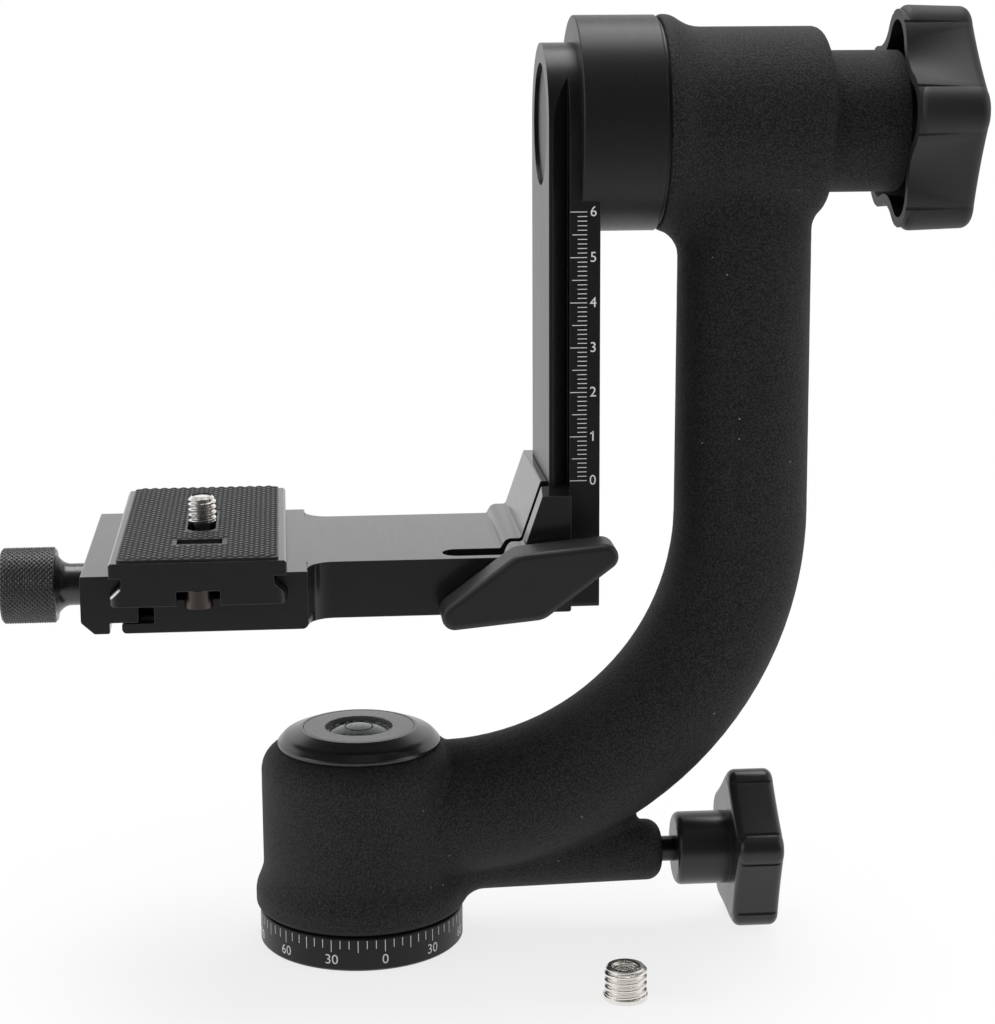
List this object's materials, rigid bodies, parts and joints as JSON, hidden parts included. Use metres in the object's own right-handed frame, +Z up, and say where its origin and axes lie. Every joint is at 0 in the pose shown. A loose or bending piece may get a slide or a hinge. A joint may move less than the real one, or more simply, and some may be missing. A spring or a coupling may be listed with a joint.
{
  "type": "gimbal tripod head",
  "caption": "Gimbal tripod head: pan base, swan-neck arm, tilting dovetail rail with an L bracket, plate clamp and quick-release plate, locked by knobs and a lever.",
  "frame": {"origin": "centre of the tripod socket's mouth, in the underside of the pan base, on the pan axis", "axes": "+X along the tilt axis towards the tilt knob, +Y away from the side with the scales, +Z up along the pan axis"},
  "size_m": [0.2202, 0.0894, 0.2167],
  "materials": {
    "powder_coat": "black fine-textured powder coat",
    "anodised": "black anodised, satin",
    "bare_aluminium": "pale satin",
    "knob_plastic": "black, semi-gloss",
    "vial_plastic": "yellow-green, clear",
    "lens": "clear, polished",
    "pad_rubber": "black, ribbed",
    "steel": "turned",
    "nickel": "nickel plated",
    "bronze": "sintered",
    "nylon": "black"
  },
  "bodies": {
    "base": {"pan_base": "anodised", "pan_washer": "nylon", "retainer_disc": "bare_aluminium", "retainer_screw": "steel", "thread_adapter": "nickel"},
    "swan_neck": {"gooseneck": "powder_coat", "pan_bushes": "bronze", "shoulder_washer": "nylon", "tilt_bushes": "bronze", "friction_washer": "nylon", "level_cap": "anodised", "level_disc": "bare_aluminium", "level_vial": "vial_plastic", "level_glass": "lens"},
    "pan_brake": {"brake_shoe": "nylon"},
    "pan_lock_knob": {"pan_knob": "knob_plastic", "pan_knob_screw": "steel"},
    "tilt_head": {"tilt_drum": "anodised", "tilt_shaft": "steel", "shaft_bolt": "steel", "cradle_rail": "anodised", "rail_end_disc": "anodised", "rail_screws": "steel"},
    "tilt_brake": {"pressure_washer": "steel"},
    "tilt_lock_knob": {"tilt_knob": "knob_plastic", "tilt_knob_nut": "bronze"},
    "bracket": {"l_bracket": "anodised"},
    "bracket_washer": {"lever_washer": "steel"},
    "bracket_lever": {"lock_lever": "powder_coat", "lever_screw": "steel"},
    "clamp_jaw": {"movable_jaw": "anodised", "guide_pins": "steel"},
    "clamp_lock_knob": {"clamp_knob": "anodised", "clamp_screw": "steel"},
    "plate": {"qr_plate": "anodised", "rubber_pad": "pad_rubber", "stop_screws": "steel"},
    "screw_carrier": {"camera_washer": "steel"},
    "screw": {"camera_screw": "nickel"}
  },
  "joints": [
    {"name": "pan", "type": "hinge", "parent": "base", "child": "swan_neck", "pos_m": [0, 0, 0.02], "axis": [0, 0, 1], "continuous": true},
    {"name": "pan_brake_slide", "type": "slide", "parent": "swan_neck", "child": "pan_brake", "axis": [1, 0, 0], "range_m": [0, 0.002]},
    {"name": "pan_lock_turn", "type": "hinge", "parent": "pan_brake", "child": "pan_lock_knob", "pos_m": [0.09, 0, 0.0186], "axis": [1, 0, 0], "range_deg": [0, 720]},
    {"name": "tilt", "type": "hinge", "parent": "swan_neck", "child": "tilt_head", "pos_m": [0.0898, 0, 0.1908], "axis": [1, 0, 0], "continuous": true},
    {"name": "tilt_brake_slide", "type": "slide", "parent": "tilt_head", "child": "tilt_brake", "axis": [1, 0, 0], "range_m": [0, 0.00225]},
    {"name": "tilt_lock_turn", "type": "hinge", "parent": "tilt_brake", "child": "tilt_lock_knob", "pos_m": [0.13, 0, 0.1908], "axis": [1, 0, 0], "range_deg": [0, 540]},
    {"name": "bracket_slide", "type": "slide", "parent": "tilt_head", "child": "bracket", "axis": [0, 0, 1], "range_m": [0, 0.06]},
    {"name": "lever_washer_slide", "type": "slide", "parent": "bracket", "child": "bracket_washer", "axis": [0, -1, 0], "range_m": [0, 0.001]},
    {"name": "lever_turn", "type": "hinge", "parent": "bracket_washer", "child": "bracket_lever", "pos_m": [0.0369, -0.03, 0.0927], "axis": [0, -1, 0], "range_deg": [0, 360]},
    {"name": "jaw_slide", "type": "slide", "parent": "bracket", "child": "clamp_jaw", "axis": [-1, 0, 0], "range_m": [0, 0.003]},
    {"name": "clamp_knob_turn", "type": "hinge", "parent": "clamp_jaw", "child": "clamp_lock_knob", "pos_m": [-0.07, 0, 0.0874], "axis": [-1, 0, 0], "range_deg": [0, 1350]},
    {"name": "plate_slide", "type": "slide", "parent": "bracket", "child": "plate", "axis": [0, 1, 0], "range_m": [-0.0004, 0.0004]},
    {"name": "screw_slide", "type": "slide", "parent": "plate", "child": "screw_carrier", "axis": [0, 1, 0], "range_m": [-0.0075, 0.0075]},
    {"name": "screw_turn", "type": "hinge", "parent": "screw_carrier", "child": "screw", "pos_m": [-0.03496, 0, 0.1], "axis": [0, 0, 1], "continuous": true}
  ],
  "couplings": [
    {"joint": "pan_lock_turn", "follows": "pan_brake_slide", "rad_per_m": 6283.2},
    {"joint": "tilt_lock_turn", "follows": "tilt_brake_slide", "rad_per_m": 4188.8},
    {"joint": "lever_turn", "follows": "lever_washer_slide", "rad_per_m": 6283.2},
    {"joint": "clamp_knob_turn", "follows": "jaw_slide", "rad_per_m": 7854}
  ]
}
